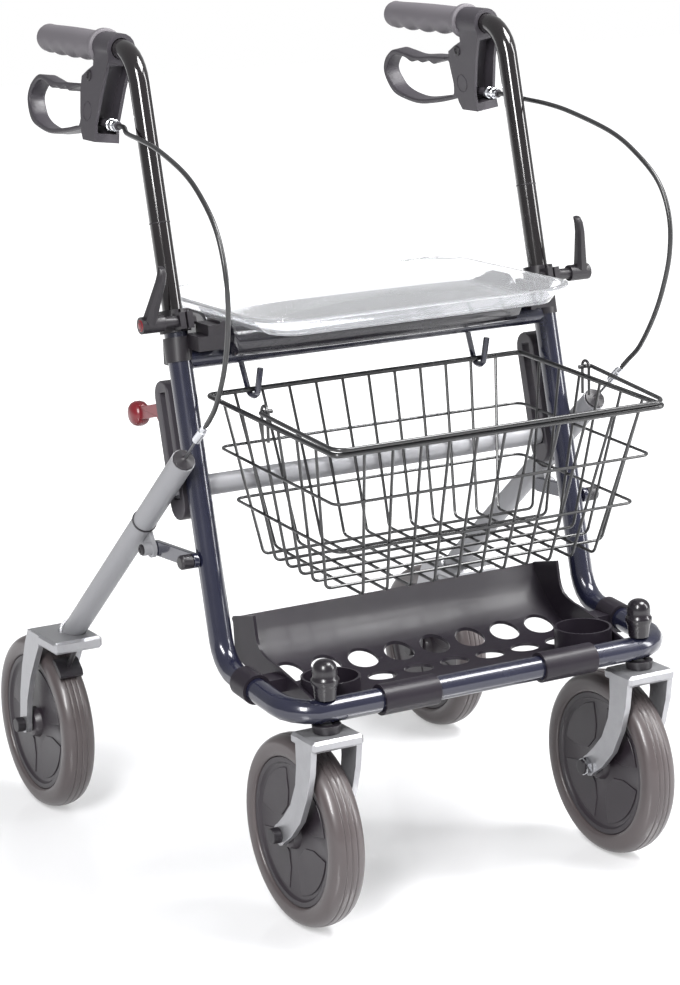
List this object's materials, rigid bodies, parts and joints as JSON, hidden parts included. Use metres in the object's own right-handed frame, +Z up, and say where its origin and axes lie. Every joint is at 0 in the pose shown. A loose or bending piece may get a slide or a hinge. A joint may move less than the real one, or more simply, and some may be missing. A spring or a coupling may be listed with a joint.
{
  "type": "rollator",
  "caption": "Folding four-wheeled walking frame with swivel front wheels, loop hand brakes, wire basket, seat, clear tray and shelf.",
  "frame": {"origin": "on the floor, in the middle of the bounding box", "axes": "+Z up, -Y the way it travels, +X the user's left"},
  "size_m": [0.597, 0.6822, 0.8903],
  "materials": {
    "navy_paint": "gloss",
    "dark_tube": "gloss",
    "silver_paint": "satin",
    "black_plastic": "matt moulded",
    "grey_plastic": "matt moulded",
    "grip_rubber": "matt moulded",
    "tyre_grey": "matt",
    "hub_grey": "matt moulded",
    "bright_metal": "plated",
    "red_plastic": "gloss moulded",
    "clear_plastic": "clear, slightly milky",
    "black_wire": "coated wire",
    "seat_vinyl": "glossy moulded"
  },
  "bodies": {
    "front_frame": {"frame_tube": "navy_paint", "seat_cross_tube": "navy_paint", "rail_right": "grey_plastic", "rail_left": "grey_plastic", "clamp_collar_right": "black_plastic", "clamp_collar_left": "black_plastic", "seat_bracket_right": "black_plastic", "seat_bracket_left": "black_plastic", "seat": "seat_vinyl", "shelf": "black_plastic", "stem_knob_right": "black_plastic", "stem_knob_left": "black_plastic", "stem_bearing_right": "black_plastic", "stem_bearing_left": "black_plastic", "link_nut_right": "black_plastic", "link_nut_left": "black_plastic"},
    "slide_blocks": {"slide_block_right": "bright_metal", "slide_block_left": "bright_metal"},
    "rear_frame": {"rear_leg_right": "silver_paint", "rear_leg_left": "silver_paint", "rear_cross_tube": "silver_paint", "cable_stop_right": "bright_metal", "cable_stop_left": "bright_metal", "rear_fork_right": "silver_paint", "rear_fork_left": "silver_paint", "rear_right_axle": "black_plastic", "rear_left_axle": "black_plastic"},
    "links": {"link_right": "navy_paint", "link_left": "navy_paint"},
    "latch": {"fold_latch": "red_plastic"},
    "basket": {"basket": "black_wire"},
    "bail": {"basket_bail": "black_wire"},
    "tray": {"tray": "clear_plastic"},
    "handle_right": {"handle_tube_right": "dark_tube", "grip_right": "grip_rubber", "brake_housing_right": "grey_plastic", "brake_cable_right": "black_plastic"},
    "brake_lever_right": {"brake_lever_right": "grey_plastic"},
    "brake_shoe_right": {"brake_shoe_right": "black_plastic"},
    "clamp_lever_right": {"clamp_lever_right": "black_plastic"},
    "caster_right": {"front_fork_right": "silver_paint", "front_right_axle": "black_plastic"},
    "front_wheel_right": {"front_right_tyre": "tyre_grey", "front_right_hub": "hub_grey"},
    "rear_wheel_right": {"rear_right_tyre": "tyre_grey", "rear_right_hub": "hub_grey"},
    "handle_left": {"handle_tube_left": "dark_tube", "grip_left": "grip_rubber", "brake_housing_left": "grey_plastic", "brake_cable_left": "black_plastic"},
    "brake_lever_left": {"brake_lever_left": "grey_plastic"},
    "brake_shoe_left": {"brake_shoe_left": "black_plastic"},
    "clamp_lever_left": {"clamp_lever_left": "black_plastic"},
    "caster_left": {"front_fork_left": "silver_paint", "front_left_axle": "black_plastic"},
    "front_wheel_left": {"front_left_tyre": "tyre_grey", "front_left_hub": "hub_grey"},
    "rear_wheel_left": {"rear_left_tyre": "tyre_grey", "rear_left_hub": "hub_grey"}
  },
  "joints": [
    {"name": "fold_slide", "type": "slide", "parent": "front_frame", "child": "slide_blocks", "axis": [0, 0.2334, 0.9724], "range_m": [0, 0.074]},
    {"name": "fold_hinge", "type": "hinge", "parent": "slide_blocks", "child": "rear_frame", "pos_m": [0, -0.07552, 0.42843], "axis": [-1, 0, 0], "range_deg": [0, 26.5], "deforming": ["brake_cable_right", "brake_cable_left"]},
    {"name": "link_hinge", "type": "hinge", "parent": "front_frame", "child": "links", "pos_m": [0, -0.11895, 0.36317], "axis": [1, 0, 0], "range_deg": [0, 41.3]},
    {"name": "latch_hinge", "type": "hinge", "parent": "front_frame", "child": "latch", "pos_m": [-0.2225, -0.05024, 0.478], "axis": [1, 0, 0], "range_deg": [0, 20], "stiffness_Nm_per_rad": 0.3, "springref_deg": -8.59},
    {"name": "tray_lift", "type": "slide", "parent": "front_frame", "child": "tray", "axis": [0, 0, 1], "range_m": [0, 0.06]},
    {"name": "basket_lift", "type": "slide", "parent": "front_frame", "child": "basket", "axis": [0, 0, 1], "range_m": [0, 0.02]},
    {"name": "bail_hinge", "type": "hinge", "parent": "basket", "child": "bail", "pos_m": [0, -0.19509, 0.52452], "axis": [-1, 0, 0], "range_deg": [0, 90]},
    {"name": "handle_slide_right", "type": "slide", "parent": "front_frame", "child": "handle_right", "axis": [0, 0.2334, 0.9724], "range_m": [-0.08, 0.07], "deforming": ["brake_cable_right"]},
    {"name": "brake_lever_hinge_right", "type": "hinge", "parent": "handle_right", "child": "brake_lever_right", "pos_m": [-0.22505, 0.08102, 0.84054], "axis": [0.9913, -0.0177, -0.1307], "range_deg": [0, 8], "stiffness_Nm_per_rad": 1.5, "springref_deg": -5.73},
    {"name": "brake_shoe_slide_right", "type": "slide", "parent": "rear_frame", "child": "brake_shoe_right", "axis": [0, 0.6561, -0.7547], "range_m": [0, 0.003]},
    {"name": "clamp_hinge_right", "type": "hinge", "parent": "front_frame", "child": "clamp_lever_right", "pos_m": [-0.2225, -0.08417, 0.60442], "axis": [-1, 0, 0], "range_deg": [0, 90]},
    {"name": "caster_swivel_right", "type": "hinge", "parent": "front_frame", "child": "caster_right", "pos_m": [-0.188, -0.2947, 0.1], "axis": [0, 0, 1], "continuous": true},
    {"name": "front_wheel_spin_right", "type": "hinge", "parent": "caster_right", "child": "front_wheel_right", "pos_m": [-0.188, -0.2407, 0.1], "axis": [1, 0, 0], "continuous": true},
    {"name": "rear_wheel_spin_right", "type": "hinge", "parent": "rear_frame", "child": "rear_wheel_right", "pos_m": [-0.26, 0.24184, 0.10002], "axis": [1, 0, 0], "continuous": true},
    {"name": "handle_slide_left", "type": "slide", "parent": "front_frame", "child": "handle_left", "axis": [0, 0.2334, 0.9724], "range_m": [-0.08, 0.07], "deforming": ["brake_cable_left"]},
    {"name": "brake_lever_hinge_left", "type": "hinge", "parent": "handle_left", "child": "brake_lever_left", "pos_m": [0.22505, 0.08102, 0.84054], "axis": [0.9913, 0.0177, 0.1307], "range_deg": [0, 8], "stiffness_Nm_per_rad": 1.5, "springref_deg": -5.73},
    {"name": "brake_shoe_slide_left", "type": "slide", "parent": "rear_frame", "child": "brake_shoe_left", "axis": [0, 0.6561, -0.7547], "range_m": [0, 0.003]},
    {"name": "clamp_hinge_left", "type": "hinge", "parent": "front_frame", "child": "clamp_lever_left", "pos_m": [0.2225, -0.08417, 0.60442], "axis": [-1, 0, 0], "range_deg": [0, 90]},
    {"name": "caster_swivel_left", "type": "hinge", "parent": "front_frame", "child": "caster_left", "pos_m": [0.188, -0.2947, 0.1], "axis": [0, 0, 1], "continuous": true},
    {"name": "front_wheel_spin_left", "type": "hinge", "parent": "caster_left", "child": "front_wheel_left", "pos_m": [0.188, -0.2407, 0.1], "axis": [1, 0, 0], "continuous": true},
    {"name": "rear_wheel_spin_left", "type": "hinge", "parent": "rear_frame", "child": "rear_wheel_left", "pos_m": [0.26, 0.24184, 0.10002], "axis": [1, 0, 0], "continuous": true}
  ],
  "couplings": [
    {"joint": "fold_slide", "follows": "fold_hinge", "m_per_rad": 0.15954},
    {"joint": "link_hinge", "follows": "fold_hinge", "ratio": 1.5515},
    {"joint": "brake_shoe_slide_right", "follows": "brake_lever_hinge_right", "m_per_rad": 0.020054},
    {"joint": "brake_shoe_slide_left", "follows": "brake_lever_hinge_left", "m_per_rad": 0.020054}
  ]
}
